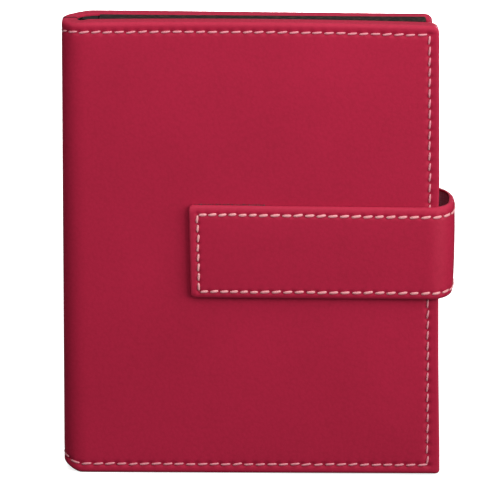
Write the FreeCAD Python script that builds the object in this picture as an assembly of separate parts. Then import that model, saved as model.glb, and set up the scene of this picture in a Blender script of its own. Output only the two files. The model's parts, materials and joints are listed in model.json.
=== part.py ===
import FreeCAD, Part
import math
import os

V = FreeCAD.Vector

# A stamp album standing on its tail edge, closed: +X from the spine to the fore-edge, -Y out of the
# front cover, +Z up to the head. The origin is the centre of the foot of the whole album's box.
# All sizes are millimetres.

# Covers
album_width = 130.0  # back of the round spine to the front cover's fore-edge
album_height = 160.0  # tail to head
skin = 1.0  # leatherette
foam = 2.4  # padding under the leatherette
board = 2.2  # greyboard
lining = 1.0  # lining panel, level with the leatherette turned in round it
turn_in = 1.6  # turned-in leatherette left showing round the lining
edge_radius = 2.6  # padded outer edge
corner_radius = 3.0  # fore-edge corners
inner_radius = 0.6  # turned-in inner edge
back_setback = 3.0  # the back cover stops this far short of the front cover
hinge_gap = 0.3  # between a cover's stiff layers and the spine's

# Round spine
spine_card = 0.8  # flexible card behind the padding
spine_lining = 0.6  # cloth over the card

# Leaves: black card with clear film strips on both sides, hung on linen tape
leaf_count = 6
leaf_card = 0.5
film = 0.14
leaf_gap = 0.3  # between neighbouring leaves
head_margin = 0.02  # leaf below the covers' head
tail_margin = 1.2  # leaf above their tail
fore_margin = 4.7  # leaf short of the front cover's fore-edge
leaf_corner = 0.8
strip_count = 5
strip_pitch = 30.5
strip_height = 25.0
strip_foot = 5.0  # first strip above the leaf's tail
strip_margin = 3.0  # strips short of the leaf's fore-edge
tape_width = 9.0  # linen tape along the gutter
tape_gap = 1.0  # from the tape to the strips
core_clear = 0.6  # binding core inside the spine lining
gutter_gap = 0.4  # from the binding core to the leaves
core_margin = 0.6  # core below the covers' head
flange_width = 15.0  # binding cloth glued down on the back lining
flange = 0.18  # thickness of that cloth
core_foot = 2.2  # width of the core's foot on the flange

# Strap: two plies sewn together, from the back cover round the fore-edge on to the front
strap_width = 31.9
strap_tail = 63.5  # the strap's lower edge above the tail
strap_skin = 0.7
strap_lining = 0.5
strap_reach = 5.4  # the loop's outside beyond the front cover's fore-edge
loop_radius = 7.2  # inside radius of the loop's two bends
strap_tip = 44.9  # from the spine's back to the strap's free end
strap_anchor = 58.0  # length of strap sewn flat on the back cover
strap_corner = 1.4  # rounded corners of both ends
strap_edge = 0.3  # softened outer edge
strap_seat = 0.35  # anchored ply to back cover
fold_gap = 0.2  # between the stiff lengths of strap at a bend

# Hook-and-loop closure under the free end
pad_length = 24.0
pad_end = 1.5  # hook pad back from the strap's end
pad_margin = 0.3  # pads inside the strap's long edges
hook_pad = 0.6
loop_pad = 0.6
pad_gap = 0.2

# Stitching
stitch_pitch = 4.0  # along the head, the tail and the strap
column_pitch = 3.7  # down the fore-edge and across the strap's ends
stitch_length = 3.1
stitch_width = 0.7
stitch_height = 0.55
stitch_crown = 0.4  # flat top of a stitch
stitch_slant = 8.0  # degrees
stitch_inset = 3.3  # seam line inside a cover's edge
strap_inset = 2.6  # seam line inside the strap's edge
seam_depth = 0.4  # channel that the thread pulls into the leatherette
seam_width = 1.6

# Sizes that follow
cover = skin + foam + board + lining
leaf = leaf_card + 2 * film
block = leaf_count * leaf + (leaf_count + 1) * leaf_gap
thickness = block + 2 * cover
spine_radius = thickness / 2
bore_radius = block / 2
strap = strap_skin + strap_lining
strap_stand = hook_pad + pad_gap + loop_pad
proud = stitch_height - seam_depth
core_radius = bore_radius - core_clear
gutter = core_radius + gutter_gap

# Places
x_spine = -(album_width + strap_reach + proud) / 2
x_hinge = x_spine + spine_radius
x_fore = x_spine + album_width
y_mid = (strap_stand - strap_seat) / 2
y_front = y_mid - spine_radius
y_back = y_mid + spine_radius
x_leaf = x_fore - fore_margin
x_loop = x_fore + strap_reach - strap - loop_radius
y_loop_back = y_back + strap_seat - loop_radius
y_loop_front = y_front - strap_stand + loop_radius
x_tip = x_spine + strap_tip
x_anchor = x_loop - strap_anchor
strap_head = strap_tail + strap_width


def box(x0, x1, y0, y1, z0, z1):
    return Part.makeBox(x1 - x0, y1 - y0, z1 - z0, V(x0, y0, z0))


def tube(radius, z0, z1):
    """Upright cylinder on the spine's centre line."""
    return Part.makeCylinder(radius, z1 - z0, V(x_hinge, y_mid, z0))


def near(a, b):
    return abs(a - b) < 1e-6


def save(shape, name):
    shape.exportStep("parts/" + name + ".step")


def padded_slab(x0, x1, y0, y1, z0, z1, corner, outer, inner):
    """Cover slab, square at the spine, with round fore-edge corners and soft edges."""
    slab = box(x0, x1, y0, y1, z0, z1)
    corners = [e for e in slab.Edges if near(e.BoundBox.XMin, x1) and e.BoundBox.YLength > (y1 - y0) / 2]
    slab = slab.makeFillet(corner, corners)
    rims = [(y0, outer), (y1, inner)]
    for y, radius in rims:
        if radius > 0:
            rim = [
                e
                for e in slab.Edges
                if near(e.BoundBox.YMin, y) and near(e.BoundBox.YMax, y) and e.BoundBox.XMax > x0 + 1e-6
            ]
            slab = slab.makeFillet(radius, rim)
    return slab


def stitch():
    """One thread stitch along X, its foot on y = 0 and its crown towards -Y."""
    half = stitch_width / 2
    crown = stitch_crown / 2
    outline = [
        V(0, 0, -half),
        V(0, 0, half),
        V(0, -stitch_height, crown),
        V(0, -stitch_height, -crown),
    ]
    face = Part.Face(Part.makePolygon(outline + outline[:1]))
    bar = face.extrude(V(stitch_length, 0, 0))
    bar.translate(V(-stitch_length / 2, 0, 0))
    return bar


STITCH = stitch()


def place_stitch(x, y, z, turn, upright=False):
    """A stitch at a point of a seam's floor; turn is the way that the surface faces, from -Y."""
    one = STITCH.copy()
    one.rotate(V(0, 0, 0), V(0, 1, 0), -90 - stitch_slant if upright else -stitch_slant)
    one.rotate(V(0, 0, 0), V(0, 0, 1), turn)
    one.translate(V(x, y, z))
    return one


def stations(start, end, pitch=stitch_pitch):
    """Stitch centres spread evenly at about the pitch between two ends of a seam."""
    count = max(1, round((end - start) / pitch))
    step = (end - start) / count
    return [start + step * (i + 0.5) for i in range(count)]


def cover_pieces(fore):
    """The layers of a cover that ends at x = fore, made as the front one."""
    x0 = x_hinge + hinge_gap / 2
    y1 = y_front + cover
    inside = y1 - lining
    body = padded_slab(x0, fore, y_front, y1, 0, album_height, corner_radius, edge_radius, inner_radius)
    cavity = padded_slab(
        x0,
        fore - skin,
        y_front + skin,
        inside,
        skin,
        album_height - skin,
        corner_radius - skin,
        edge_radius - skin,
        0,
    )
    window = box(x0, fore - turn_in, inside, y1, turn_in, album_height - turn_in)
    half = seam_width / 2
    seam_x = fore - stitch_inset
    floor = y_front + seam_depth
    rows = [stitch_inset, album_height - stitch_inset]
    seams = [box(x0, seam_x + half, y_front, floor, z - half, z + half) for z in rows]
    seams.append(box(seam_x - half, seam_x + half, y_front, floor, rows[0] - half, rows[1] + half))
    shell = body.cut([cavity, window] + seams)
    threads = [place_stitch(x, floor, z, 0) for z in rows for x in stations(x0, seam_x)]
    column = stations(rows[0] + half, rows[1] - half, column_pitch)
    threads += [place_stitch(seam_x, floor, z, 0, True) for z in column]
    padding = cavity.common(box(x0, fore, y_front, y_front + skin + foam, 0, album_height))
    stiffener = cavity.common(box(x0, fore, y_front + skin + foam, inside, 0, album_height))
    return {
        "skin": shell,
        "padding": padding,
        "board": stiffener,
        "lining": window,
        "stitching": Part.makeCompound(threads),
    }


def half_round(outer, inner, z0, z1):
    """Half tube round the spine's centre line, stopping short of the covers."""
    wall = tube(outer, z0, z1).cut(tube(inner, z0, z1))
    return wall.cut(box(x_hinge - hinge_gap / 2, x_fore, y_front - 1, y_back + 1, z0 - 1, z1 + 1))


def spine_pieces():
    """Padded half-round spine: leatherette, wadding, card and lining."""
    whole = tube(spine_radius, 0, album_height)
    rims = [e for e in whole.Edges if near(e.BoundBox.ZMin, e.BoundBox.ZMax)]
    whole = whole.makeFillet(edge_radius, rims)
    bore = tube(bore_radius, -1, album_height + 1)
    beyond = box(x_hinge - hinge_gap / 2, x_fore, y_front - 1, y_back + 1, -1, album_height + 1)
    lining_radius = bore_radius + spine_lining
    card_radius = lining_radius + spine_card
    wad_radius = spine_radius - skin
    cavity = half_round(wad_radius, lining_radius, skin, album_height - skin)
    cloth = half_round(lining_radius, bore_radius, turn_in, album_height - turn_in)
    half = seam_width / 2
    floor = spine_radius - seam_depth
    rows = [stitch_inset, album_height - stitch_inset]
    seams = [tube(spine_radius, z - half, z + half).cut(tube(floor, z - half, z + half)) for z in rows]
    shell = whole.cut([bore, beyond, cavity, cloth] + seams)
    threads = []
    for z in rows:
        for run in stations(0, math.pi * spine_radius):
            turn = run / spine_radius
            x = x_hinge - floor * math.sin(turn)
            y = y_mid - floor * math.cos(turn)
            threads.append(place_stitch(x, y, z, -math.degrees(turn)))
    return {
        "skin": shell,
        "padding": half_round(wad_radius, card_radius, skin, album_height - skin),
        "card": half_round(card_radius, lining_radius, skin, album_height - skin),
        "lining": cloth,
        "stitching": Part.makeCompound(threads),
    }


def binding():
    """Round gutter core with its foot and cloth flange on the back cover's lining."""
    z0 = tail_margin
    z1 = album_height - core_margin
    y_lining = y_back - cover
    x0 = x_hinge + hinge_gap
    foot = box(x0, x0 + core_foot, y_mid, y_lining - flange, z0, z1)
    cloth = box(x0, x0 + flange_width, y_lining - flange, y_lining, z0, z1)
    return tube(core_radius, z0, z1).fuse([foot, cloth]).removeSplitter()


def leaf_pieces(number):
    """One stock leaf: card, pocket strips and gutter tape, counted from the front cover."""
    y0 = y_front + cover + leaf_gap + (number - 1) * (leaf + leaf_gap) + film
    y1 = y0 + leaf_card
    x0 = x_hinge + gutter
    z0 = tail_margin
    z1 = album_height - head_margin
    card = box(x0, x_leaf, y0, y1, z0, z1)
    corners = [e for e in card.Edges if near(e.BoundBox.XMin, x_leaf) and e.BoundBox.ZLength < 1e-6]
    card = card.makeFillet(leaf_corner, [e for e in corners if e.BoundBox.YLength > leaf_card / 2])
    faces = [(y0 - film, y0), (y1, y1 + film)]
    strips = []
    for low, high in faces:
        for i in range(strip_count):
            foot = z0 + strip_foot + i * strip_pitch
            left = x0 + tape_width + tape_gap
            strips.append(box(left, x_leaf - strip_margin, low, high, foot, foot + strip_height))
    tapes = [box(x0, x0 + tape_width, low, high, z0, z1) for low, high in faces]
    return {"card": card, "strips": Part.makeCompound(strips), "tape": Part.makeCompound(tapes)}


def strap_layer(low, high, z0, z1, start, end):
    """A ply of the strap between two heights above its inner face, from the tip side to the anchor."""
    quarter = math.pi / 4

    def bend(y, radius, turn):
        return V(x_loop + radius * math.cos(turn), y + radius * math.sin(turn), 0)

    def route(k):
        r = loop_radius + k
        front = [V(start, y_loop_front - r, 0), V(x_loop, y_loop_front - r, 0)]
        side = [V(x_loop + r, y_loop_front, 0), V(x_loop + r, y_loop_back, 0)]
        back = [V(x_loop, y_loop_back + r, 0), V(end, y_loop_back + r, 0)]
        return [
            Part.LineSegment(front[0], front[1]),
            Part.Arc(front[1], bend(y_loop_front, r, -quarter), side[0]),
            Part.LineSegment(side[0], side[1]),
            Part.Arc(side[1], bend(y_loop_back, r, quarter), back[0]),
            Part.LineSegment(back[0], back[1]),
        ]

    inner = route(low)
    outer = route(high)
    ends = [
        Part.LineSegment(inner[0].StartPoint, outer[0].StartPoint),
        Part.LineSegment(inner[-1].EndPoint, outer[-1].EndPoint),
    ]
    edges = [curve.toShape() for curve in inner + outer + ends]
    face = Part.Face(Part.Wire(Part.__sortEdges__(edges)))
    ply = face.extrude(V(0, 0, z1 - z0))
    ply.translate(V(0, 0, z0))
    return ply


def rounded_ply(low, high):
    """A whole ply with the rounded corners of the strap's two ends."""
    ply = strap_layer(low, high, strap_tail, strap_head, x_tip, x_anchor)
    tips = []
    for e in ply.Edges:
        flat = e.BoundBox.ZLength < 1e-6 and e.BoundBox.XLength < 1e-6
        if flat and (near(e.BoundBox.XMin, x_tip) or near(e.BoundBox.XMin, x_anchor)):
            tips.append(e)
    return ply.makeFillet(strap_corner, tips)


def soften(ply, reach):
    """Ease the ply's outer edge, all the way along it and round its ends."""
    outline = []
    for e in ply.Edges:
        middle = e.valueAt((e.FirstParameter + e.LastParameter) / 2)
        if near(skin_height(middle), reach) and not near(e.BoundBox.ZLength, strap_width):
            if e.BoundBox.ZLength < strap_width / 2 or e.BoundBox.XLength < 1e-6:
                outline.append(e)
    seams = [e for e in outline if e.BoundBox.XLength < 1e-6 and e.BoundBox.YLength < 1e-6]
    ends = [e for e in seams if near(e.BoundBox.XMin, x_tip) or near(e.BoundBox.XMin, x_anchor)]
    return ply.makeChamfer(strap_edge, [e for e in outline if e not in seams] + ends)


def skin_height(p):
    """How far a point lies outside the strap's inner face."""
    if p.x > x_loop:
        y = min(max(p.y, y_loop_front), y_loop_back)
        return math.hypot(p.x - x_loop, p.y - y) - loop_radius
    if p.y > y_mid:
        return p.y - y_loop_back - loop_radius
    return y_loop_front - loop_radius - p.y


def bend_side(y, turn, beyond):
    """Everything on one side of the plane across a bend, half the fold's gap away."""
    size = 4 * album_width
    half = Part.makeBox(size, size, size, V(-size / 2, fold_gap / 2, -size / 2))
    if not beyond:
        half.translate(V(0, -size - fold_gap, 0))
    half.rotate(V(0, 0, 0), V(0, 0, 1), turn)
    half.translate(V(x_loop, y, album_height / 2))
    return half


def split_strap(shape):
    """The lengths of strap on the back cover, round the fore-edge and on the front."""
    size = 4 * album_width
    behind = box(-size, size, y_loop_back, size, 0, album_height)
    before = box(-size, size, -size, y_loop_front, 0, album_height)
    anchor = shape.common(behind).common(bend_side(y_loop_back, 45, True))
    flap = shape.common(before).common(bend_side(y_loop_front, -45, False))
    middle = shape.common(bend_side(y_loop_back, 45, False)).common(bend_side(y_loop_front, -45, True))
    right = box(x_loop, size, -size, size, 0, album_height)
    return {"anchor": anchor, "band": middle.common(right), "flap": flap}


def strap_stitching():
    """Seams along both edges of the strap and across its two ends."""
    radius = loop_radius + strap - seam_depth
    front = x_loop - x_tip - strap_inset
    arc = radius * math.pi / 2
    side = y_loop_back - y_loop_front
    back = strap_anchor - strap_inset
    fold = front + arc / 2
    total = front + arc + side + arc + back
    lengths = {"flap": [], "band": [], "anchor": []}
    rows = [strap_tail + strap_inset, strap_head - strap_inset]
    for run in stations(0, total):
        if min(abs(run - fold), abs(run - (total - back - arc / 2))) < stitch_length / 2 + fold_gap:
            continue
        if run < front:
            x, y, turn = x_loop - front + run, y_loop_front - radius, 0.0
        elif run < front + arc:
            turn = (run - front) / radius
            x, y = x_loop + radius * math.sin(turn), y_loop_front - radius * math.cos(turn)
        elif run < front + arc + side:
            x, y, turn = x_loop + radius, y_loop_front + run - front - arc, math.pi / 2
        elif run < total - back:
            turn = math.pi / 2 + (run - front - arc - side) / radius
            x, y = x_loop + radius * math.sin(turn), y_loop_back - radius * math.cos(turn)
        else:
            x, y, turn = x_loop - (run - total + back), y_loop_back + radius, math.pi
        length = "flap" if run < fold else "anchor" if run > total - back - arc / 2 else "band"
        lengths[length] += [place_stitch(x, y, z, math.degrees(turn)) for z in rows]
    half = seam_width / 2
    for z in stations(rows[0] + half, rows[1] - half, column_pitch):
        lengths["flap"].append(place_stitch(x_tip + strap_inset, y_loop_front - radius, z, 0, True))
        lengths["anchor"].append(place_stitch(x_anchor + strap_inset, y_loop_back + radius, z, 180, True))
    return {name: Part.makeCompound(threads) for name, threads in lengths.items()}


def strap_pieces():
    """The strap's outer ply with its seam channels, and its lining."""
    outer = rounded_ply(strap_lining, strap)
    outer = soften(outer, strap)
    half = seam_width / 2
    floor = strap - seam_depth
    rows = [strap_tail + strap_inset, strap_head - strap_inset]
    left = x_tip + strap_inset
    right = x_anchor + strap_inset
    seams = [strap_layer(floor, strap, z - half, z + half, left - half, right - half) for z in rows]
    face = y_loop_front - loop_radius
    rear = y_loop_back + loop_radius
    low = rows[0] - half
    high = rows[1] + half
    seams.append(box(left - half, left + half, face - strap, face - floor, low, high))
    seams.append(box(right - half, right + half, rear + floor, rear + strap, low, high))
    outer = outer.cut(seams)
    return split_strap(outer), split_strap(rounded_ply(0, strap_lining))


def pads():
    """Loop pad on the front cover and hook pad under the strap's free end."""
    x0 = x_tip + pad_end
    z0 = strap_tail + pad_margin
    z1 = strap_head - pad_margin
    under = y_front - strap_stand
    loop = box(x0, x0 + pad_length, y_front - loop_pad, y_front, z0, z1)
    hook = box(x0, x0 + pad_length, under, under + hook_pad, z0, z1)
    return loop, hook


def main():
    os.makedirs("parts", exist_ok=True)
    for name, shape in cover_pieces(x_fore).items():
        save(shape, "front_" + name)
    centre = V(0, y_mid, 0)
    for name, shape in cover_pieces(x_fore - back_setback).items():
        save(shape.mirror(centre, V(0, 1, 0)), "back_" + name)
    for name, shape in spine_pieces().items():
        save(shape, "spine_" + name)
    save(binding(), "binding_core")
    for number in range(1, leaf_count + 1):
        for name, shape in leaf_pieces(number).items():
            save(shape, "leaf_%d_%s" % (number, name))
    skins, linings = strap_pieces()
    for name, shape in skins.items():
        save(shape, "strap_%s_skin" % name)
    for name, shape in linings.items():
        save(shape, "strap_%s_lining" % name)
    for name, shape in strap_stitching().items():
        save(shape, "strap_%s_stitching" % name)
    loop, hook = pads()
    save(loop, "front_loop_pad")
    save(hook, "strap_hook_pad")


main()
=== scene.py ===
import json
import math

import bpy
import numpy as np
from mathutils import Matrix, Vector


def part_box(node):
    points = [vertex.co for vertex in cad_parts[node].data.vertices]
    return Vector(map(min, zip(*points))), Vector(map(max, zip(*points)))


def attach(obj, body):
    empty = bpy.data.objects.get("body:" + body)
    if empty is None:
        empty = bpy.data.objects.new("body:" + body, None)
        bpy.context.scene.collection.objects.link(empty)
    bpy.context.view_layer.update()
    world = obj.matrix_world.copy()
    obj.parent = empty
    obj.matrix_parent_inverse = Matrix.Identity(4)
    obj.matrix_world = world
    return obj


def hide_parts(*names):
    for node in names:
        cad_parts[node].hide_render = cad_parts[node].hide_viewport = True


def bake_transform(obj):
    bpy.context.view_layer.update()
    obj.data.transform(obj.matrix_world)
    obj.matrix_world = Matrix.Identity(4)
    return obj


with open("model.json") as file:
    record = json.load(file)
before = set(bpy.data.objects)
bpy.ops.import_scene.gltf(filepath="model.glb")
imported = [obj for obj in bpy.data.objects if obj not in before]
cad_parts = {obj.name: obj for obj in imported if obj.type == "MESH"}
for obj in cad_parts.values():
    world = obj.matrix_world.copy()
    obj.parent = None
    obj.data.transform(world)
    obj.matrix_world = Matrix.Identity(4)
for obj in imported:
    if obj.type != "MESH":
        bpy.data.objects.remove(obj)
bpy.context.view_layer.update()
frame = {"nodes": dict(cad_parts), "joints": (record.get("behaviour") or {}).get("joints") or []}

mm = 0.001
quarter_turn = math.pi / 2
tiny = 1e-9  # keeps a division from 0

# ---- The album's own lines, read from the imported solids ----

front_low, front_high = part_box("front_skin")
back_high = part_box("back_skin")[1]
spine_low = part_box("spine_skin")[0]
lining_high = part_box("front_lining")[1]
flap_low, flap_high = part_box("strap_flap_skin")
band_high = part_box("strap_band_skin")[1]
anchor_low, anchor_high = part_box("strap_anchor_skin")
loop_low, loop_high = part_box("front_loop_pad")
hook_low, hook_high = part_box("strap_hook_pad")
joint_at = {j["name"]: Vector(j["pos_m"]) for j in frame["joints"]}

tall = front_high.z
y_front, y_back = front_low.y, back_high.y
y_mid = (y_front + y_back) / 2
spine_radius = (y_back - y_front) / 2
x_spine = spine_low.x
x_hinge = x_spine + spine_radius
cover = front_high.y - y_front
turn_in = front_high.x - lining_high.x
quarter_round = spine_radius * math.pi / 2
front_run = quarter_round + front_high.x - x_hinge
back_run = quarter_round + back_high.x - x_hinge

strap_width = flap_high.z - flap_low.z
strap_thick = hook_low.y - flap_low.y
x_loop_out = band_high.x
bend_radius = (x_loop_out - joint_at["strap_fold"].x) / (1 - math.cos(math.pi / 4))
y_band = (flap_low.y + anchor_high.y) / 2
half_depth = (anchor_high.y - flap_low.y) / 2

cell = 1.0 * mm  # the squares of leatherette and cloth

# ---- Modelling helpers ----


def deselect():
    """Start each piece with nothing selected."""
    if bpy.context.object and bpy.context.object.mode != "OBJECT":
        bpy.ops.object.mode_set(mode="OBJECT")
    bpy.ops.object.select_all(action="DESELECT")


def pick(piece, part, chosen):
    """Select edges or faces of a piece and go into edit mode."""
    bpy.context.view_layer.objects.active = piece
    bpy.ops.object.mode_set(mode="EDIT")
    bpy.ops.mesh.select_mode(type=part)
    bpy.ops.mesh.select_all(action="DESELECT")
    bpy.ops.object.mode_set(mode="OBJECT")
    items = piece.data.edges if part == "EDGE" else piece.data.polygons
    items.foreach_set("select", np.asarray(chosen, bool))
    bpy.ops.object.mode_set(mode="EDIT")


def read(items, what, width, kind=float):
    """One property of a piece's points, edges or faces, a row for each."""
    found = np.empty(len(items) * width, kind)
    items.foreach_get(what, found)
    return found.reshape(-1, width)


def points(piece):
    return read(piece.data.vertices, "co", 3)


def put_points(piece, placed):
    piece.data.vertices.foreach_set("co", np.asarray(placed, np.float32).ravel())
    piece.data.update()


def edge_ends(piece):
    return read(piece.data.edges, "vertices", 2, int)


def ease(low, high, value):
    """Smooth step from 0 at low to 1 at high."""
    share = np.clip((value - low) / (high - low), 0, 1)
    return share * share * (3 - 2 * share)


def smooth(piece, degrees):
    """Turn the piece's normals outwards and shade it smooth up to an angle."""
    deselect()
    piece.select_set(True)
    bpy.context.view_layer.objects.active = piece
    bpy.ops.object.mode_set(mode="EDIT")
    bpy.ops.mesh.select_all(action="SELECT")
    bpy.ops.mesh.normals_make_consistent(inside=False)
    bpy.ops.object.mode_set(mode="OBJECT")
    bpy.ops.object.shade_smooth_by_angle(angle=math.radians(degrees))


def join(name, pieces):
    deselect()
    for piece in pieces:
        piece.select_set(True)
    bpy.context.view_layer.objects.active = pieces[0]
    bpy.ops.object.join()
    pieces[0].name = name
    return pieces[0]


def flat_sheet(name, wide, high, middle, thick=0):
    """A sheet of small squares that faces -Y, with a thickness if it is given one."""
    deselect()
    bpy.ops.mesh.primitive_grid_add(
        x_subdivisions=round(wide / cell),
        y_subdivisions=round(high / cell),
        size=1,
        rotation=(quarter_turn, 0, 0),
    )
    piece = bpy.context.object
    piece.name = name
    bpy.ops.object.transform_apply(rotation=True)
    bpy.ops.object.mode_set(mode="EDIT")
    bpy.ops.transform.resize(value=(wide, 1, high))
    bpy.ops.transform.translate(value=middle)
    if thick:
        bpy.ops.mesh.extrude_region_move(TRANSFORM_OT_translate={"value": (0, thick, 0)})
    bpy.ops.object.mode_set(mode="OBJECT")
    return piece


def cut_across(piece, axis, cuts):
    """Cut rings into the sides of a cylinder that runs along an axis."""
    place = points(piece)[:, axis]
    ends = place[edge_ends(piece)]
    pick(piece, "EDGE", np.abs(ends[:, 0] - ends[:, 1]) > np.ptp(place) / 2)
    bpy.ops.mesh.subdivide(number_cuts=cuts)
    bpy.ops.object.mode_set(mode="OBJECT")


def repeat(piece, count):
    """Copy a piece on to itself; returns the points of each copy, still to be placed."""
    size = len(piece.data.vertices)
    copies = piece.modifiers.new("copies", "ARRAY")
    copies.use_relative_offset = False
    copies.use_constant_offset = True
    copies.constant_offset_displace = (0, 0, 0)
    copies.count = count
    bpy.context.view_layer.objects.active = piece
    bpy.ops.object.modifier_apply(modifier=copies.name)
    return points(piece).reshape(count, size, 3)


# ---- Leatherette cut flat and turned over its edges ----
# A flat cut runs along X from a joint line to a turned end, with Z up it and
# its right side towards -Y. Depth into the work is +Y.

row_pitch = 4.0 * mm
column_pitch = 3.7 * mm
corner_blend = (0.35, 0.65)  # share of a corner over which the end's edge takes over
round_steps = 13
groove_level, groove_beat = 0.62, 0.38  # the groove under the thread, and how much deeper at the holes
valley_share, valley_spread = 0.15, 3.2  # the wide hollow on both sides of the seam
pucker_share, pucker_spread = 0.1, 2.2  # the small gathers beside the needle holes


def even(start, end, pitch):
    """Needle holes spread evenly at about the pitch, from one end of a seam to the other."""
    return np.linspace(start, end, round((end - start) / pitch) + 1)


def hole_beat(holes, place):
    """1 at a needle hole, -1 at the middle of a stitch."""
    return np.cos(2 * math.pi * np.interp(place, holes, np.arange(len(holes))))


class Cut:
    """Sizes of one flat cut of leatherette and of the edge that it is turned over.

    far and tall are the finished length and width, and thick is the depth of the finished edge.
    The outer margin goes over the edge: a round of radius (end_radius at the end), the edge's flat,
    a round of inner, the lip turned in behind, and sink, where the lip goes in. corner is the
    corners' radius at the tail and at the head, and undercut how much the end slopes in for each
    depth. The seam runs inset from the long edges and end_inset from the end, and drift and stray
    say how much further in. lean is the way that the stitches slant, and girth how thick they are
    along the rows and down the end.
    """

    def __init__(
        self, far, tall, thick, margin, corner, radius, inner, lip, sink, inset, end_inset, lean,
        girth, drift, stray=np.zeros_like, end_radius=None, undercut=0,
    ):
        self.far, self.tall, self.thick = far, tall, thick
        self.margin, self.corner = margin, corner
        self.radius, self.inner, self.end_radius = radius, inner, end_radius or radius
        self.lip, self.sink, self.lean, self.undercut = lip, sink, lean, undercut
        self.inset, self.end_inset = inset, end_inset
        self.girth, self.drift, self.stray = girth, drift, stray
        self.fold = np.cumsum(
            [margin - radius, radius * math.pi / 2, thick - radius - inner]
            + [inner * math.pi / 2, lip - inner, sink]
        )
        self.allowance = self.fold[-1] - margin
        self.row_holes = even(0, far - end_inset, row_pitch)
        self.column_holes = even(inset, tall - inset, column_pitch)

    def edge_line(self, along, radius):
        """How far inside the edge, and how deep, a point lies that far along the turned leatherette."""
        turn = np.linspace(0, quarter_turn, round_steps)
        fold = self.fold
        first, second = (np.linspace(fold[i], fold[i + 1], round_steps) for i in (0, 2))
        place = np.r_[0, first, second, fold[4:]]
        over, under = radius * (1 - np.sin(turn)), self.inner * (1 - np.cos(turn))
        inside = np.r_[self.margin, over, under, self.lip, self.lip]
        over, under = radius * (1 - np.cos(turn)), self.inner * (1 - np.sin(turn))
        deep = np.r_[0, over, self.thick - under, self.thick, self.thick - self.sink]
        return np.interp(along, place, inside), np.interp(along, place, deep)

    def ring(self, run, z):
        """Distance past the margin's inner line, towards the end and towards a long edge."""
        over_end = np.maximum(run - (self.far - self.margin), 0)
        over_side = np.maximum(np.abs(z - self.tall / 2) - (self.tall / 2 - self.margin), 0)
        return over_end, over_side

    def placed(self, run, deep, z, end, side):
        """Points drawn in to new distances past the margin's inner line."""
        half = self.tall / 2
        up = np.minimum(np.abs(z - half), half - self.margin) + side
        along = np.minimum(run, self.far - self.margin) + end
        return np.stack([along, deep, half + np.sign(z - half) * up], 1)

    def turn_edges(self, flat, fuller=None):
        """Fold a flat cut over its edges; fuller lists other edge radii and how much each holds."""
        run, out, z = flat.T
        over_end, over_side = self.ring(run, z)
        along = np.maximum(over_end, over_side)
        inside, deep = self.edge_line(along, self.radius)
        at_end = ease(*corner_blend, over_end / np.maximum(over_end + over_side, tiny))
        for radius, weight in [(self.end_radius, at_end)] + (fuller(run, z) if fuller else []):
            more_inside, more_deep = self.edge_line(along, radius)
            inside = inside + (more_inside - inside) * weight
            deep = deep + (more_deep - deep) * weight
        inside = inside + self.undercut * at_end * deep
        reach = self.margin - inside
        scale = np.where(along > 0, reach / np.maximum(along, tiny), 1)
        end, side = over_end * scale, over_side * scale
        corner = np.maximum(np.where(z < self.tall / 2, *self.corner) - inside, 0)
        centre = reach - corner
        rounded = (end > centre) & (side > centre) & (corner > 0)
        from_end, from_side = end - centre, side - centre
        length = np.maximum(np.hypot(from_end, from_side), tiny)
        end = np.where(rounded, centre + corner * from_end / length, end)
        side = np.where(rounded, centre + corner * from_side / length, side)
        return self.placed(run, out + deep, z, end, side)

    def lay_back(self, flat):
        """Lay the points that bridge the back between the turned-in edges."""
        run, z = flat[:, 0], flat[:, 2]
        over_end, over_side = self.ring(run, z)
        scale = (self.margin - self.lip) / self.fold[-1]
        deep = np.full_like(run, self.thick - self.sink)
        return self.placed(run, deep, z, over_end * scale, over_side * scale)

    def seam_pull(self, run, z, depth, spread):
        """How deep the thread pulls the leatherette in, most of all at the needle holes."""
        half = self.tall / 2
        to_row = np.abs(np.abs(z - half) - (half - self.inset - self.drift(run, z > half)))
        to_column = np.abs(run - (self.far - self.end_inset - self.stray(z)))
        on_row = run < self.far - self.end_inset + spread
        on_column = np.abs(z - half) < half - self.inset + spread
        pulls = []
        for gap, here, beat in (
            (to_row, on_row, hole_beat(self.row_holes, run)),
            (to_column, on_column, hole_beat(self.column_holes, z)),
        ):
            groove = np.exp(-((gap / spread) ** 2)) * (groove_level + groove_beat * beat)
            valley = valley_share * np.exp(-((gap / (valley_spread * spread)) ** 2))
            pucker = pucker_share * beat * np.exp(-gap / (pucker_spread * spread))
            pulls.append(np.where(here, groove + valley + pucker, 0))
        return depth * np.maximum(pulls[0], pulls[1])


def flat_cut(name, cut, fine):
    """Leatherette cut out flat with its turning allowance, in smaller squares near the edges."""
    wide = cut.far + cut.allowance
    high = cut.tall + 2 * cut.allowance
    piece = flat_sheet(name, wide, high, (wide / 2, 0, cut.tall / 2))
    for first, last in fine:
        middle = read(piece.data.polygons, "center", 3)
        along = np.maximum(*cut.ring(middle[:, 0], middle[:, 2]))
        pick(piece, "FACE", (along > first) & (along < last))
        bpy.ops.mesh.subdivide(number_cuts=1)
        bpy.ops.object.mode_set(mode="OBJECT")
    return piece


def close_back(piece, cuts=0):
    """Bridge the turned-in edges across the back and close both ends; returns the faces there were."""
    run, _, z = points(piece).T
    before = len(piece.data.polygons)
    end, near = run.max(), 1e-7
    ends = edge_ends(piece)
    on_tail, on_head = (np.abs(z - edge) < near for edge in (z.min(), z.max()))
    pick(piece, "EDGE", on_tail[ends].all(1) | on_head[ends].all(1))
    bpy.ops.mesh.bridge_edge_loops(number_cuts=cuts)
    bpy.ops.object.mode_set(mode="OBJECT")
    run = points(piece)[:, 0]
    for line in (np.abs(run - end) < near, np.abs(run) < near):
        pick(piece, "EDGE", line[edge_ends(piece)].all(1))
        bpy.ops.mesh.edge_face_add()
        bpy.ops.object.mode_set(mode="OBJECT")
    return before


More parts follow.
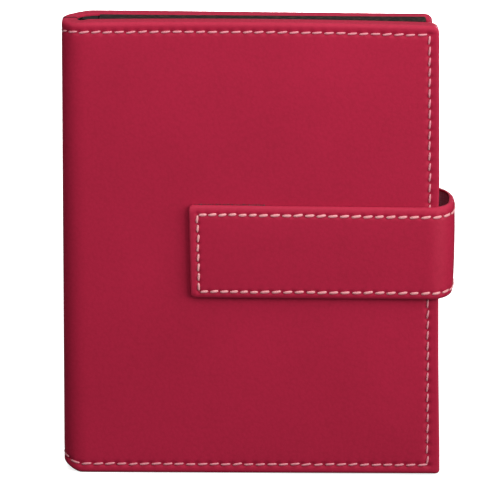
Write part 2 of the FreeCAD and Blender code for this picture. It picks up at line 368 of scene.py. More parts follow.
def mark(piece, name, values):
    """Keep one number at each point for the piece's material."""
    attribute = piece.data.attributes.new(name, "FLOAT", "POINT")
    attribute.data.foreach_set("value", np.asarray(values, np.float32))


# ---- Stitches ----

stitch_share = 0.8  # of the pitch
stitch_width = 0.7 * mm
stitch_height = 0.45 * mm
stitch_slant = math.radians(7)
stitch_rings = [0, 0.2, 0.6, 1]  # where the rings are cut, from the middle to the end
stitch_stations = [0, 0.4, 0.82, 1]  # where they are moved to
stitch_girths = [1, 1, 0.8, 0.4]  # and how thick the thread is there
stitch_dip = 0.62  # how far the ends go down into the needle holes
slant_spread = math.radians(2.2)  # how much one stitch differs from the next
length_spread = 0.03
place_spread = 0.05 * mm
spread_ways = [1, 0.4, 1]


def model_stitch():
    """One stitch of twisted thread along X, of length 1: flattened, with narrow ends that dip."""
    deselect()
    bpy.ops.mesh.primitive_cylinder_add(vertices=8, radius=0.5, depth=1, rotation=(0, quarter_turn, 0))
    piece = bpy.context.object
    bpy.ops.object.transform_apply(rotation=True)
    cut_across(piece, axis=0, cuts=4)
    shape = points(piece)
    station = np.interp(np.abs(shape[:, 0]) * 2, stitch_rings, stitch_stations)
    girth = np.interp(station, stitch_stations, stitch_girths)
    dip = stitch_dip * station**4
    along = np.sign(shape[:, 0]) * station / 2
    deep = (shape[:, 1] * girth + dip) * stitch_height
    put_points(piece, np.stack([along, deep, shape[:, 2] * girth * stitch_width], 1))
    return piece


def sew(name, cut, seed, seat):
    """Stitches along both long edges and across the turned end of a cut, still flat."""
    chance = np.random.default_rng(seed)
    rows = []
    lean = cut.lean * stitch_slant
    tail = np.stack([cut.row_holes, cut.inset + cut.drift(cut.row_holes, False)], 1)
    head = np.stack([cut.row_holes, cut.tall - cut.inset - cut.drift(cut.row_holes, True)], 1)
    side = np.stack([cut.far - cut.end_inset - cut.stray(cut.column_holes), cut.column_holes], 1)
    row_girth, column_girth = cut.girth
    seams = ((tail, lean, row_girth), (head, lean, row_girth), (side, -lean, column_girth))
    for holes, slant, girth in seams:
        row = model_stitch()
        stitches = repeat(row, len(holes) - 1)
        for stitch, first, last in zip(stitches, holes, holes[1:]):
            step = last - first
            angle = math.atan2(step[1], step[0]) + slant + chance.normal(0, slant_spread)
            length = np.hypot(*step) * stitch_share * (1 + chance.normal(0, length_spread))
            along, up = math.cos(angle), math.sin(angle)
            turn = np.array([[along, 0, -up], [0, 1, 0], [up, 0, along]])
            middle = (first + last) / 2
            centre = np.array([middle[0], seat, middle[1]])
            centre = centre + chance.normal(0, place_spread, 3) * spread_ways
            stitch[:] = (stitch * [length, 1, girth]) @ turn.T + centre
        put_points(row, stitches)
        rows.append(row)
    return join(name, rows)


# ---- Materials ----


def linear(hex_colour):
    """sRGB hex to a linear colour with full alpha."""
    parts = [int(hex_colour[i : i + 2], 16) / 255 for i in (1, 3, 5)]
    return [p / 12.92 if p <= 0.04045 else ((p + 0.055) / 1.055) ** 2.4 for p in parts] + [1.0]


def add(tree, kind, inputs=None, **settings):
    """Add a node with its settings; an input that is a socket is linked, any other is set."""
    made = tree.nodes.new(kind)
    for name, value in settings.items():
        setattr(made, name, value)
    for socket, value in (inputs or {}).items():
        if isinstance(value, bpy.types.NodeSocket):
            tree.links.new(value, made.inputs[socket])
        else:
            made.inputs[socket].default_value = value
    return made


def start_material(name):
    """An empty material, its nodes and its Object coordinates."""
    material = bpy.data.materials.new(name)
    material.use_nodes = True
    tree = material.node_tree
    tree.nodes.clear()
    where = add(tree, "ShaderNodeTexCoord").outputs["Object"]
    return material, tree, where


def noise(tree, where, size, detail):
    inputs = {"Vector": where, "Scale": 1 / size, "Detail": detail}
    return add(tree, "ShaderNodeTexNoise", inputs).outputs["Fac"]


def bands(tree, where, scale, distortion, **settings):
    inputs = {"Vector": where, "Scale": scale, "Distortion": distortion, "Detail": 1}
    return add(tree, "ShaderNodeTexWave", inputs, **settings).outputs["Fac"]


def combine(tree, operation, first, second):
    return add(tree, "ShaderNodeMath", {0: first, 1: second}, operation=operation).outputs[0]


def ranged(tree, value, **ends):
    """A value moved to another range; from_min and the like name the ends."""
    inputs = {name.replace("_", " ").title(): end for name, end in ends.items()}
    return add(tree, "ShaderNodeMapRange", {"Value": value} | inputs).outputs["Result"]


def between(tree, share, first, second):
    """A colour that share of the way from the first to the second."""
    return add(tree, "ShaderNodeMix", {0: share, 6: first, 7: second}, data_type="RGBA").outputs[2]


def relief(tree, height, strength, distance, invert=False):
    inputs = {"Height": height, "Strength": strength, "Distance": distance}
    return add(tree, "ShaderNodeBump", inputs, invert=invert).outputs[0]


def show(tree, shader):
    add(tree, "ShaderNodeOutputMaterial", {"Surface": shader.outputs[0]})


def coat(tree, colour, normal, roughness, sockets):
    """Close a material with one shader; sockets holds its other settings."""
    inputs = {"Base Color": colour, "Normal": normal, "Roughness": roughness} | sockets
    show(tree, add(tree, "ShaderNodeBsdfPrincipled", inputs))


def leatherette(name, colour, deep, wear_and_painted_highlight):
    # Embossed vinyl on a cloth back: a pebble grain with darker creases, a satin sheen that is a
    # little smoother on top of the pebbles, and paler rounded edges: partly wear where hands rub them,
    # partly a painted highlight.
    material, tree, where = start_material(name)
    pebble = add(
        tree, "ShaderNodeTexVoronoi", {"Vector": where, "Scale": 1 / (1.1 * mm)}, feature="SMOOTH_F1"
    )
    crease = noise(tree, where, 0.55 * mm, 4)
    cloud = noise(tree, where, 34 * mm, 3)
    grain = combine(tree, "MULTIPLY", pebble.outputs["Distance"], crease)
    height = ranged(tree, grain, from_min=0.05, from_max=0.4)
    depth = ranged(tree, height, to_min=0.0, to_max=0.35)
    shade = ranged(tree, cloud, from_min=0.3, from_max=0.7, to_min=0.0, to_max=0.3)
    body = between(tree, combine(tree, "ADD", depth, shade), linear(colour), linear(deep))
    wear_and_highlight_share = add(tree, "ShaderNodeAttribute", attribute_name="wear_and_painted_highlight").outputs["Fac"]
    paler = between(tree, wear_and_highlight_share, body, linear(wear_and_painted_highlight))
    bump = relief(tree, height, 0.35, 0.05 * mm, invert=True)
    rough = ranged(tree, height, to_min=0.52, to_max=0.66)
    coat(tree, paler, bump, rough, {"IOR": 1.5, "Specular IOR Level": 0.16})
    return material


def thread(name, pale, shadow):
    # Polyester sewing thread, plies twisted together: slanting ridges, silky along them. The bands
    # are counted round the thread, which puts the ridges about 0.3 mm apart.
    material, tree, where = start_material(name)
    around = add(tree, "ShaderNodeTexCoord").outputs["UV"]
    slant = {"Vector": around, "Rotation": (0, 0, math.radians(28))}
    plies = bands(tree, add(tree, "ShaderNodeMapping", slant).outputs[0], 2.4, 0.6)
    fibre = noise(tree, where, 0.12 * mm, 2)
    tone = between(tree, plies, linear(shadow), linear(pale))
    bump = relief(tree, combine(tree, "ADD", plies, fibre), 0.35, 0.05 * mm)
    coat(tree, tone, bump, 0.55, {"Sheen Weight": 0.3})
    return material


def woven(name, colour, gap, spacing, roughness, lift):
    # Plain-woven bookbinding cloth: threads over and under each other, dull, darker between them.
    # The threads are drawn twice as far apart as the real 0.4 mm, so that they show.
    material, tree, where = start_material(name)
    scale = 2 * math.pi / (spacing * 20)  # the bands of a scale of 1 are a twentieth of 2 pi apart
    warp, weft = (bands(tree, where, scale, 0.4, bands_direction=axis) for axis in ("X", "Z"))
    cross = combine(tree, "MULTIPLY", warp, weft)
    slub = noise(tree, where, 3 * mm, 4)
    share = combine(tree, "MULTIPLY", cross, slub)
    tone = between(tree, share, linear(gap), linear(colour))
    coat(tree, tone, relief(tree, cross, 0.5, lift), roughness, {"Specular IOR Level": 0.25})
    return material


def paper(name, colour, fleck, fibre, roughness):
    # Paper, card and board: pressed fibre, matt, with flecks and a faint tooth.
    material, tree, where = start_material(name)
    tooth = noise(tree, where, fibre, 6)
    flecks = ranged(tree, noise(tree, where, 6 * fibre, 3), from_min=0.4, from_max=0.75)
    tone = between(tree, flecks, linear(colour), linear(fleck))
    coat(tree, tone, relief(tree, tooth, 0.3, 0.05 * mm), roughness, {"Specular IOR Level": 0.3})
    return material


def film(name):
    # Clear polyester film: glassy, with a slight waviness that breaks up its reflections.
    material, tree, where = start_material(name)
    wave = noise(tree, where, 18 * mm, 1)
    haze = ranged(tree, wave, to_min=0.04, to_max=0.14)
    bump = relief(tree, wave, 0.4, 0.2 * mm)
    coat(tree, linear("#f4f6f6"), bump, haze, {"IOR": 1.57, "Transmission Weight": 1.0})
    return material


def nap(name, colour, deep):
    # Nylon hook-and-loop: a dull mat of tangled black fibre, paler where the fibres stand up.
    material, tree, where = start_material(name)
    tangle = noise(tree, where, 0.4 * mm, 5)
    tone = between(tree, tangle, linear(deep), linear(colour))
    coat(tree, tone, relief(tree, tangle, 0.8, 0.15 * mm), 0.75, {"Sheen Weight": 0.4})
    return material


# Face, grain and paler rim colours; the rim colour is wear and a painted highlight together
crimson = ("#ae1e3e", "#961832", "#b6314c")
cover_leatherette = leatherette("crimson_leatherette", *crimson)
strap_leatherette = leatherette("strap_crimson_leatherette", *crimson)
seam_thread = thread("polyester_thread", "#e2939c", "#c87280")
# The strap's thread is the covers' thread drawn paler: painted light on the strap's stitches
strap_seam_thread_painted_paler = thread("strap_polyester_thread_painted_paler", "#eca5a8", "#d18188")
# Rose cloth drawn paler than the real lining: painted light for the loop's shaded inside
strap_back_cloth_painted_light = woven("strap_back_cloth_painted_light", "#d08498", "#b0667a", 0.9 * mm, 0.8, 0.05 * mm)
lining_paper = paper("black_lining_paper", "#2b2725", "#35302d", 0.35 * mm, 0.8)
spine_cloth = woven("black_spine_cloth", "#201c1a", "#110f0e", 0.8 * mm, 0.8, 0.05 * mm)
binding_cloth = woven("black_binding_cloth", "#1f1b19", "#110f0e", 0.8 * mm, 0.8, 0.05 * mm)
stock_card = paper("black_stock_card", "#140d0c", "#46312b", 0.3 * mm, 0.8)
linen_tape = woven("black_linen_tape", "#34302c", "#1a1715", 0.8 * mm, 0.85, 0.06 * mm)
grey_board = paper("grey_board", "#8f8a82", "#777169", 0.5 * mm, 0.9)
spine_card = paper("black_spine_card", "#1b1816", "#2c2723", 0.4 * mm, 0.85)
clear_film = film("clear_polyester_film")
hook_nylon = nap("hook_nylon", "#332326", "#181012")
loop_nylon = nap("loop_nylon", "#42262b", "#1f1114")

# ---- Padded covers and round spine ----

front_edge_radius = 1.3 * mm
back_edge_radius = 2.4 * mm
spine_tail_radius = 0.9 * mm
spine_head_radius = 1.3 * mm
drawn_from, drawn_to = math.radians(15), math.radians(65)  # round the spine, where those radii fade out
foot_gather = 2.8 * mm  # the leatherette is drawn up at the middle of the spine's foot
gather_share = 0.6  # of the spine's depth, over which that fades out
gather_power = 1.5
gather_reach = 25 * mm
head_dip = 0.5 * mm  # the spine's head edge lies a little below the covers'
dip_reach = 5 * mm
head_drift = 1.1 * mm  # the seams run further from the spine's head and tail than from the covers'
tail_drift = 0.2 * mm
drift_turn = math.radians(60)
stray_below = 0.65 * mm  # the seam down the fore-edge runs further in below the strap
stray_above = 0.1 * mm
head_bow = 0.44 * mm  # the front cover's head is bowed up in the middle
bow_middle = -6 * mm
bow_reach = 50 * mm
tail_rise = 0.0042  # its tail climbs towards the fore-edge, for each length along X
back_fall = 0.0035  # and the back cover's head falls
back_lift = 0.2 * mm  # from a little above its true line
back_level = -22 * mm  # where it is that high
back_flat = -15 * mm  # from there towards the spine, where the head runs level again
skewed_over = 50 * mm  # from head and tail, the length over which the covers are out of true
rim_swell = 0.33 * mm  # the covers' fore-edges stand out a little towards head and tail
rim_width = 3.6 * mm
head_swell = (92 * mm, 106 * mm)
tail_swell = (4 * mm, 45 * mm)
spine_wall = 5.5 * mm  # leatherette and padding on the spine, less than the covers' thickness
wall_from, wall_to = math.radians(50), math.radians(85)  # where it thickens to the covers'
spine_tuck = 0.985
spine_round = {-1: 3.0, 1: 1.6}  # a circle is 2: squarer on the front half, flatter on the back half
spine_steps = 181
crown = 0.2 * mm
crown_from, crown_to = 4 * mm, 26 * mm  # from the edge
wave_height = 0.045 * mm  # slow waves in the padding, long ones and shorter slanting ones
long_wave = (17 * mm, 23 * mm)
short_wave = (9.5 * mm, 14 * mm)
short_share = 0.6
cover_pull = 0.5 * mm
cover_groove = 0.75 * mm
cover_wear_and_highlight = 0.15
cover_fine = [(1.2 * mm, math.inf)]  # past the margin's inner line


def stray_column(z):
    """How much further from the fore-edge the seam runs below the strap than above it."""
    return stray_below * (1 - ease(flap_low.z, flap_high.z, z)) - stray_above


def spine_drift(run, at_head):
    """How much further from the edge the seam runs on the spine, most at its head."""
    weight = 1 - ease(0, drift_turn, run / spine_radius)
    return weight * np.where(at_head, head_drift, tail_drift)


def cover_cut(far, lean, radius):
    return Cut(
        far=far, tall=tall, thick=cover, margin=8 * mm, corner=(1.5 * mm, 2.7 * mm),
        radius=radius, end_radius=0.7 * mm, inner=0.6 * mm, undercut=0.06,
        lip=turn_in, sink=0.8 * mm, inset=3.3 * mm, end_inset=3.6 * mm,
        lean=lean, girth=(1.05, 0.8), drift=spine_drift, stray=stray_column,
    )


def drawn_spine(run, z):
    """Other edge radii at the spine's tail and head, fading out towards the hinge."""
    weight = 1 - ease(drawn_from, drawn_to, run / spine_radius)
    at_tail = z < tall / 2
    return [(spine_tail_radius, weight * at_tail), (spine_head_radius, weight * ~at_tail)]


def padding_swell(cut, run, z):
    """The padding's slight crown and slow waves, fading out at the seam and on the spine."""
    inside = np.minimum(np.minimum(z, cut.tall - z), cut.far - run)
    full = ease(crown_from, crown_to, inside)
    wave = np.sin(run / long_wave[0] + 0.7) * np.sin(z / long_wave[1] + 1.9)
    wave += short_share * np.sin(run / short_wave[0] + z / short_wave[1])
    spine_calm = ease(0.5 * quarter_round, 2 * quarter_round, run)
    return full * spine_calm * (crown + wave_height * wave)


def out_of_true(x, z, side):
    """How far the covers' heads and tails lie above or below their true lines."""
    at_head = ease(tall - skewed_over, tall, z)
    at_tail = 1 - ease(0, skewed_over, z)
    if side > 0:
        return at_head * (back_lift - back_fall * np.maximum(x - back_level, back_flat))
    off_middle = x - bow_middle
    bow = head_bow * (1 - (off_middle / bow_reach) ** 2)
    bow = np.where(off_middle < 0, np.maximum(bow, 0), bow)
    return at_head * bow + at_tail * tail_rise * np.maximum(x - x_hinge, 0)


def spine_line(share, power):
    """Points on a quarter of the spine's section, of radius 1, at shares of its length."""
    angle = np.linspace(0, quarter_turn, spine_steps)
    across, along = np.cos(angle) ** (2 / power), np.sin(angle) ** (2 / power)
    length = np.concatenate([[0], np.cumsum(np.hypot(np.diff(across), np.diff(along)))])
    length /= length[-1]
    return np.interp(share, length, across), np.interp(share, length, along)


def wrap_cover(flat, side):
    """Bring flat work round the spine from its mid-line and along a cover: -1 front, 1 back."""
    run, deep, z = flat.T
    turn = np.clip(run / spine_radius, 0, quarter_turn)
    across, along = spine_line(turn / quarter_turn, spine_round[side])
    thin = 1 - (1 - spine_wall / cover) * (1 - ease(wall_from, wall_to, turn))
    reach = spine_radius - deep * thin
    x = x_hinge - spine_tuck * reach * across + np.maximum(run - quarter_round, 0)
    far = front_run if side < 0 else back_run
    off_middle = ease(*head_swell, z) + 1 - ease(*tail_swell, z)
    x += rim_swell * off_middle * ease(far - rim_width, far, run)
    gathered = np.clip(1 - (1 - across) / gather_share, 0, 1) ** gather_power
    drawn_up = foot_gather * gathered * (1 - ease(0, gather_reach, z))
    dip = head_dip * across * ease(tall - dip_reach, tall, z)
    up = z + out_of_true(x, z, side) + drawn_up - dip
    return np.stack([x, y_mid + side * reach * along, up], 1)


def cover_piece(name, cut, side):
    """Padded leatherette of a cover and of its half of the spine, with cloth across its back."""
    piece = flat_cut(name, cut, cover_fine)
    faces_before = close_back(piece)
    flat = points(piece)
    run, z = flat[:, 0].copy(), flat[:, 2].copy()
    along = np.maximum(*cut.ring(run, z))
    on_face = 1 - ease(cut.fold[0] - 0.2 * mm, cut.fold[1], along)
    pulled = cut.seam_pull(run, z, cover_pull, cover_groove) - padding_swell(cut, run, z)
    flat[:, 1] = pulled * on_face
    folded = cut.turn_edges(flat, drawn_spine)
    put_points(piece, wrap_cover(folded, side))
    rim = ease(cut.fold[0] - 0.5 * mm, cut.fold[1] - 1.5 * mm, along)
    rim *= 1 - ease(cut.fold[1], cut.fold[2], along)
    # Paler rims: wear where hands rub them, with a painted highlight on the rounded edge
    mark(piece, "wear_and_painted_highlight", cover_wear_and_highlight * rim)
    piece.data.materials.append(cover_leatherette)
    piece.data.materials.append(binding_cloth)
    for face in piece.data.polygons[faces_before:]:
        face.material_index = 1
    smooth(piece, 40)
    return piece


def cover_thread(name, cut, side, seed):
    piece = sew(name, cut, seed, seat=0.05 * mm)
    put_points(piece, wrap_cover(cut.turn_edges(points(piece), drawn_spine), side))
    piece.data.materials.append(seam_thread)
    smooth(piece, 60)
    return piece


front_cut = cover_cut(front_run, 1, front_edge_radius)
back_cut = cover_cut(back_run, -1, back_edge_radius)
front_leather = cover_piece("front_leatherette", front_cut, -1)
back_leather = cover_piece("back_leatherette", back_cut, 1)
front_thread = cover_thread("front_seam_thread", front_cut, -1, seed=3)
back_thread = cover_thread("back_seam_thread", back_cut, 1, seed=5)

for piece in (front_leather, front_thread):
    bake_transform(piece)
for piece in (back_leather, back_thread):
    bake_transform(piece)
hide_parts("front_skin", "front_padding", "spine_skin", "spine_padding")
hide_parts("back_skin", "back_padding", "spine_skin", "spine_padding")
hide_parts("front_stitching", "spine_stitching")
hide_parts("back_stitching", "spine_stitching")

# ---- Strap ----

strap_pull = 0.42 * mm
strap_groove = 0.62 * mm
strap_wear_and_highlight = 0.5
strap_puff = 0.1 * mm  # the edge is puffed up between the seam and the rim
puff_middle, puff_spread = 1.15 * mm, 0.8 * mm  # from the edge
puff_uneven = 0.25
puff_wave = (5.3 * mm, 4.1 * mm)
strap_crown = 0.12 * mm
strap_crown_from, strap_crown_to = 4 * mm, 12 * mm
strap_tilt = 0.004  # fall of the strap for each length along X
strap_lift = 2.6 * mm  # the strap lies higher on the back than on the front
strap_lean = 0.02  # the loop reaches out further at its head than at its foot
strap_skew = 0.02  # its free end is cut a little out of square
strap_wide_tip = 1.0315  # the strap is a little wider at its free end than in its bends
strap_narrow_bend = 1.0195
strap_rise = 0.07 * mm
seam_shift = 0.23 * mm  # the strap's seams sit a little nearer its lower edge
x_strap_out = x_loop_out - 0.3 * mm
x_strap_tip = flap_low.x - 0.45 * mm
lining_sink = 0.2 * mm
edge_bend = 3.0 * mm  # the strap's long edges bend down towards the cover over this width
head_droop = 1.05 * mm
tail_droop = 0.8 * mm
back_droop = 0.25 * mm
strap_column_pitch = 3.3 * mm
tight_pitch = 3.45 * mm  # the stitches nearest the free end are shorter
tight_count = 6
back_rows = 20  # of squares across the strap's back, so that it bends with the edges
back_bend_radius = 12 * mm  # the strap leaves the back cover in a wider bend
bends = {
    side: (radius, x_strap_out - radius, half_depth - radius)
    for side, radius in ((-1, bend_radius), (1, back_bend_radius))
}


def strap_run(side, x_end):
    """Length of strap from the middle of the fore-edge to one end."""
    radius, x_loop, straight = bends[side]
    return straight + radius * math.pi / 2 + x_loop - x_end


def strap_drift(run, at_head):
    """The shift of both long seams, in from the head and out towards the tail."""
    return np.where(at_head, seam_shift, -seam_shift) + 0 * run


def strap_cut(far, lean):
    cut = Cut(
        far=far, tall=strap_width, thick=strap_thick, margin=5 * mm, corner=(1.4 * mm, 1.4 * mm),
        radius=0.55 * mm, inner=0.4 * mm, lip=1.0 * mm, sink=lining_sink,
        inset=2.7 * mm, end_inset=2.85 * mm, lean=lean, girth=(1.3, 1.1), drift=strap_drift,
    )
    end = far - cut.end_inset
    tight = end - tight_pitch * np.arange(tight_count)
    loose = even(0, end - tight_pitch * tight_count, row_pitch)
    cut.row_holes = np.concatenate([loose, tight[::-1]])
    lowest, highest = cut.inset - seam_shift, cut.tall - cut.inset - seam_shift
    cut.column_holes = even(lowest, highest, strap_column_pitch)
    return cut


def wrap_strap(flat, side):
    """Bring flat work from the fore-edge's middle round a bend and along a cover: -1 front, 1 back."""
    run, deep, z = flat.T
    radius, x_loop, straight = bends[side]
    turn = np.clip((run - straight) / radius, 0, quarter_turn)
    droop = np.where(z > strap_width / 2, head_droop, tail_droop)
    droop = droop + (back_droop - droop) * (side > 0) * ease(0, quarter_turn, turn)
    from_edge = np.minimum(z, strap_width - z)
    reach = radius - deep - droop * np.clip(1 - from_edge / edge_bend, 0, 1) ** 2
    x = x_loop + reach * np.cos(turn) - np.maximum(run - straight - radius * math.pi / 2, 0)
    y = y_band + side * (np.minimum(run, straight) + reach * np.sin(turn))
    to_tip = ease(x_loop, x_strap_tip, x)
    wide = strap_narrow_bend + (strap_wide_tip - strap_narrow_bend) * to_tip
    half = strap_width / 2
    fall = strap_tilt * (x - (flap_low.x + x_loop_out) / 2)
    behind = np.clip((y - flap_low.y) / (anchor_high.y - flap_low.y), 0, 1)
    lift = strap_rise + strap_lift * behind * ease(anchor_low.x, x_loop, x)
    skew = strap_skew * to_tip * (side < 0) - strap_lean * ease(x_loop - radius, x_strap_out, x)
    x = x - skew * (z - half)
    return np.stack([x, y, flap_low.z + half + (z - half) * wide - fall + lift], 1)


def strap_piece(name, cut, side):
    """Half of the strap: leatherette turned over its edges and sewn."""
    fine = [(0.4 * mm, math.inf), (cut.fold[0] - 0.3 * mm, cut.fold[3] + 0.3 * mm)]
    piece = flat_cut(name, cut, fine)
    on_back = len(piece.data.vertices)
    close_back(piece, back_rows)
    flat = points(piece)
    run, z = flat[:, 0].copy(), flat[:, 2].copy()
    along = np.maximum(*cut.ring(run, z))
    on_face = 1 - ease(cut.fold[0], cut.fold[1], along)
    edge = cut.margin - along
    puff = np.exp(-(((edge - puff_middle) / puff_spread) ** 2)) * strap_puff
    puff *= 1 + puff_uneven * np.sin(run / puff_wave[0]) * np.sin(z / puff_wave[1] + 0.4)
    inside = np.minimum(np.minimum(z, cut.tall - z), cut.far - run)
    swell = strap_crown * ease(strap_crown_from, strap_crown_to, inside)
    flat[:, 1] = (cut.seam_pull(run, z, strap_pull, strap_groove) - puff - swell) * on_face
    folded = cut.turn_edges(flat)
    folded[on_back:] = cut.lay_back(flat[on_back:])
    put_points(piece, wrap_strap(folded, side))
    rim = ease(cut.fold[0] - 0.6 * mm, cut.fold[0] + 0.5 * mm, along)
    rim *= 1 - ease(cut.fold[1], cut.fold[2] + 0.2 * mm, along)
    # Paler rims on the strap: wear, with a painted highlight on its rounded edges
    mark(piece, "wear_and_painted_highlight", strap_wear_and_highlight * rim)
    piece.data.materials.append(strap_leatherette)
    smooth(piece, 45)
    return piece


def strap_back(name, cut, side):
    """The rose cloth ply on the strap's inner face, inside the turned-in edges. Its rose is painted
    light: paler than the real lining, so that the loop's shaded inside shows lighter.
    """
    inset = cut.lip + 0.1 * mm
    wide, high = cut.far - inset, cut.tall - 2 * inset
    deep = cut.thick - lining_sink + 0.02 * mm
    piece = flat_sheet(name, wide, high, (wide / 2, deep, cut.tall / 2), lining_sink)
    put_points(piece, wrap_strap(points(piece), side))
    piece.data.materials.append(strap_back_cloth_painted_light)
    smooth(piece, 40)
    return piece


def strap_thread(name, cut, side, seed):
    piece = sew(name, cut, seed, seat=-0.02 * mm)
    put_points(piece, wrap_strap(cut.turn_edges(points(piece)), side))
    piece.data.materials.append(strap_seam_thread_painted_paler)
    smooth(piece, 60)
    return piece


flap_cut = strap_cut(strap_run(-1, x_strap_tip), -1)
anchor_cut = strap_cut(strap_run(1, anchor_low.x), 1)
strap_front = strap_piece("strap_front_leatherette", flap_cut, -1)
strap_rear = strap_piece("strap_back_leatherette", anchor_cut, 1)
strap_front_cloth = strap_back("strap_front_cloth", flap_cut, -1)
strap_rear_cloth = strap_back("strap_back_cloth_painted_light", anchor_cut, 1)
strap_front_thread = strap_thread("strap_front_thread", flap_cut, -1, seed=7)
strap_rear_thread = strap_thread("strap_back_thread", anchor_cut, 1, seed=9)

for piece in (strap_front, strap_front_cloth, strap_front_thread):
    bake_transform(piece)
for piece in (strap_rear, strap_rear_cloth, strap_rear_thread):
    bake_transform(piece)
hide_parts("strap_flap_skin", "strap_band_skin")
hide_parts("strap_anchor_skin", "strap_band_skin")
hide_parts("strap_flap_lining", "strap_band_lining")
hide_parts("strap_anchor_lining", "strap_band_lining")
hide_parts("strap_flap_stitching", "strap_band_stitching")
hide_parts("strap_anchor_stitching", "strap_band_stitching")

# ---- Hook-and-loop closure ----

nap_depth = 0.3 * mm  # of a pad's thickness, taken up by its hooks or loops
nap_root = 0.32 * mm
nap_reach = 0.28 * mm
loop_spacing, loop_curl = 0.9 * mm, 3.0  # curl in radians
hook_spacing, hook_curl = 1.0 * mm, 2.4
nap_scatter = 0.3  # of the spacing
fibre_radius = 0.07 * mm
fibre_sway = 0.6  # how far a curled fibre goes sideways, as a share of a circle's way
fray_spacing = 0.13 * mm
fray_reach, fray_curl = 0.9 * mm, 0.9
fray_depth = (0.3, 0.7)  # mm below the edge, where the loose fibres start
fray_tilt = 0.5
fray_out = 0.4  # they lean less out of the pad than along it
frayed_above = 0.9 * mm  # the frayed head edge comes up past the strap
hook_margin = 2 * mm  # the hook pad stays clear of the strap's bent edges


def tape_base(name, low, high, from_y, to_y):
    """Woven backing of a closure pad, with eased edges."""
    deselect()
    bpy.ops.mesh.primitive_cube_add(size=1)
    piece = bpy.context.object
    piece.name = name
    middle = ((low.x + high.x) / 2, (from_y + to_y) / 2, (low.z + high.z) / 2)
    bpy.ops.object.mode_set(mode="EDIT")
    bpy.ops.transform.resize(value=(high.x - low.x, abs(to_y - from_y), high.z - low.z))
    bpy.ops.transform.translate(value=middle)
    bpy.ops.mesh.bevel(offset=0.12 * mm, segments=2)
    bpy.ops.object.mode_set(mode="OBJECT")
    return piece


def bent_fibre(reach, curl):
    """One nylon fibre that stands up Z and bends over."""
    deselect()
    bpy.ops.mesh.primitive_cylinder_add(
        vertices=3, radius=fibre_radius, depth=1 * mm, location=(0, 0, 0.5 * mm)
    )
    fibre = bpy.context.object
    bpy.ops.object.transform_apply(location=True)
    cut_across(fibre, axis=2, cuts=5)
    shape = points(fibre)
    turn = shape[:, 2] / mm * curl
    radius = reach / math.sin(min(curl, quarter_turn))
    across = fibre_sway * radius * (1 - np.cos(turn))
    put_points(fibre, np.stack([shape[:, 0] + across, shape[:, 1], radius * np.sin(turn)], 1))
    return fibre


def plant(fibre, places, ways):
    """Repeat a fibre at each place, standing its own way."""
    field = repeat(fibre, len(places))
    for copy, place, way in zip(field, places, ways):
        copy[:] = copy @ np.array(way).T + place
    put_points(fibre, field)
    return fibre


def nap_field(low, high, foot_y, lie, curl, spacing, chance):
    """Hooks or loops all over a pad; lie turns them to stand off the front or the back of it."""
    places, ways = [], []
    for x in np.arange(low.x + spacing / 2, high.x, spacing):
        for z in np.arange(low.z + spacing / 2, high.z, spacing):
            off = chance.uniform(-nap_scatter, nap_scatter, 2) * spacing
            places.append((x + off[0], foot_y, z + off[1]))
            spin = Matrix.Rotation(chance.uniform(0, 2 * math.pi), 3, "Z")
            ways.append(Matrix.Rotation(lie * quarter_turn, 3, "X") @ spin)
    return plant(bent_fibre(nap_reach, curl), places, ways)


def frayed_edge(low, high, chance):
    """Loose fibres that stand up from a pad's head edge and show above the strap."""
    places, ways = [], []
    for x in np.arange(low.x, high.x, fray_spacing):
        y = chance.uniform(low.y, high.y)
        places.append((x, y, high.z - chance.uniform(*fray_depth) * mm))
        tilt = chance.normal(0, fray_tilt, 2)
        lean = Matrix.Rotation(tilt[0] * fray_out, 3, "X") @ Matrix.Rotation(tilt[1], 3, "Y")
        ways.append(lean @ Matrix.Rotation(chance.uniform(0, 2 * math.pi), 3, "Z"))
    return plant(bent_fibre(fray_reach, fray_curl), places, ways)


chance = np.random.default_rng(11)
loop_head = loop_high + Vector((0, 0, frayed_above))
loop_pad = join(
    "loop_pad",
    [
        tape_base("loop_base", loop_low, loop_head, loop_high.y, loop_low.y + nap_depth),
        nap_field(loop_low, loop_high, loop_low.y + nap_root, 1, loop_curl, loop_spacing, chance),
        frayed_edge(loop_low, loop_head, chance),
    ],
)
hook_foot = hook_low + Vector((0, 0, hook_margin))
hook_head = hook_high - Vector((0, 0, hook_margin))
hook_pad = join(
    "hook_pad",
    [
        tape_base("hook_base", hook_foot, hook_head, hook_low.y, hook_high.y - nap_depth),
        nap_field(hook_foot, hook_head, hook_high.y - nap_root, -1, hook_curl, hook_spacing, chance),
    ],
)
for piece, node, body, finish in (
    (loop_pad, "front_loop_pad", "front_cover", loop_nylon),
    (hook_pad, "strap_hook_pad", "strap_flap", hook_nylon),
):
    piece.data.materials.append(finish)
    smooth(piece, 50)
    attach(piece, body)
    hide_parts(node)

# ---- Finishes on the solids that keep their shape ----

leaf_count = 6
finishes = {
    "front_board": grey_board,
    "back_board": grey_board,
    "front_lining": lining_paper,
    "back_lining": lining_paper,
    "spine_card": spine_card,
    "spine_lining": spine_cloth,
    "binding_core": binding_cloth,
}
for number in range(1, leaf_count + 1):
    finishes[f"leaf_{number}_card"] = stock_card
    finishes[f"leaf_{number}_strips"] = clear_film
    finishes[f"leaf_{number}_tape"] = linen_tape
for node, finish in finishes.items():
    for place in frame["nodes"][node].material_slots:
        place.material = finish

# ---- Floor, light and camera ----

floor_size = 12
floor_glow = 0.77  # makes up the floor's white where the lamps light it
room_light = 0.08
lamps_reach, lamps_end = 0.4, 0.8  # from the album


def seen_directly(tree):
    """1 for what the eye sees, itself or through clear film, and 0 for what only gives light."""
    path = add(tree, "ShaderNodeLightPath").outputs
    return combine(tree, "MAXIMUM", path["Is Camera Ray"], path["Is Transmission Ray"])


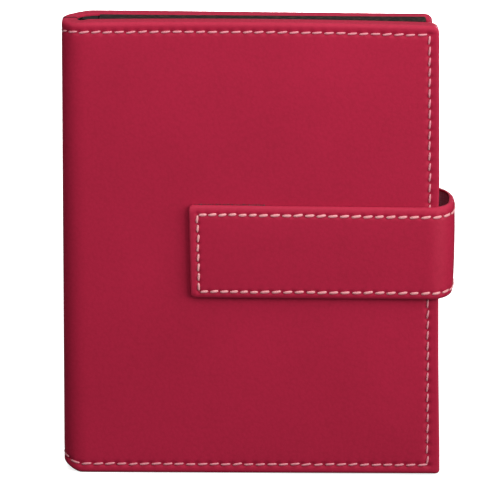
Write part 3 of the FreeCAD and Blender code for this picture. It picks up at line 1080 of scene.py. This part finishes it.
def either(tree, share, first, second):
    return add(tree, "ShaderNodeMixShader", {0: share, 1: first.outputs[0], 2: second.outputs[0]})


deselect()
bpy.ops.mesh.primitive_grid_add(x_subdivisions=8, y_subdivisions=8, size=floor_size)
floor = bpy.context.object
floor.name = "floor"
# White floor: matt, so that it keeps the album's shadow, with a glow of its own that takes over
# where the lamps no longer reach it. It throws little light back on the album.
floor_white, tree, where = start_material("white_floor")
matt = add(tree, "ShaderNodeBsdfDiffuse", {"Color": linear("#d8d8d8")})
dull = add(tree, "ShaderNodeBsdfDiffuse", {"Color": linear("#505050")})
away = add(tree, "ShaderNodeVectorMath", {0: where}, operation="LENGTH").outputs["Value"]
strength = ranged(tree, away, from_min=lamps_reach, from_max=lamps_end, to_min=floor_glow, to_max=1.0)
glow = add(tree, "ShaderNodeEmission", {"Strength": strength})
lit = add(tree, "ShaderNodeAddShader", {0: matt.outputs[0], 1: glow.outputs[0]})
show(tree, either(tree, seen_directly(tree), dull, lit))
floor.data.materials.append(floor_white)

world = bpy.data.worlds.new("studio")
bpy.context.scene.world = world
world.use_nodes = True
tree = world.node_tree
tree.nodes.clear()
room = add(tree, "ShaderNodeBackground", {"Color": linear("#ffffff"), "Strength": room_light})
white = add(tree, "ShaderNodeBackground", {"Color": linear("#ffffff"), "Strength": 1.0})
backdrop = either(tree, seen_directly(tree), room, white)
add(tree, "ShaderNodeOutputWorld", {"Surface": backdrop.outputs[0]})


def lamp(name, place, size, power):
    """A soft square lamp that faces the front cover's middle."""
    light = bpy.data.lights.new(name, "AREA")
    light.size = size
    light.energy = power
    held = bpy.data.objects.new(name, light)
    bpy.context.scene.collection.objects.link(held)
    held.location = place
    aim = Vector((0, y_front, tall / 2)) - Vector(place)
    held.rotation_euler = aim.to_track_quat("-Z", "Y").to_euler()


lamp("key", (0.8, -0.55, 0.36), size=0.9, power=11.9)
lamp("front", (-0.05, -0.22, 0.42), size=0.6, power=1.88)
lamp("top", (0.05, 0.3, 0.65), size=0.5, power=1.0)
lamp("back", (0.1, 0.75, 0.07), size=0.18, power=5.0)
lamp("fill", (-0.6, -0.35, 0.3), size=0.6, power=0.4)

scene = bpy.context.scene
scene.view_settings.view_transform = "Standard"

camera_distance = 5.0
camera_pitch = math.radians(14.5)
camera_yaw = math.radians(2.5)
camera_roll = math.radians(-0.19)
pixels_per_metre = 2905.0
frame_pixels = 500
focal_pixels = pixels_per_metre * camera_distance
sensor = 36.0
aim_point = Vector(((x_spine + front_high.x) / 2, y_front, tall / 2))
aim_pixel = (249.8, 250.1)

camera_data = bpy.data.cameras.new("camera")
camera_data.sensor_width = sensor
camera_data.lens = focal_pixels / frame_pixels * sensor
camera_data.clip_end = 20
camera = bpy.data.objects.new("camera", camera_data)
scene.collection.objects.link(camera)
level = math.cos(camera_pitch)
look = (-level * math.sin(camera_yaw), level * math.cos(camera_yaw), -math.sin(camera_pitch))
turn = Vector(look).to_track_quat("-Z", "Y").to_matrix() @ Matrix.Rotation(camera_roll, 3, "Z")
right, down = ((at - frame_pixels / 2) / focal_pixels * camera_distance for at in aim_pixel)
offset = Vector((right, -down, -camera_distance))
camera.matrix_world = Matrix.Translation(aim_point - turn @ offset) @ turn.to_4x4()
scene.camera = camera
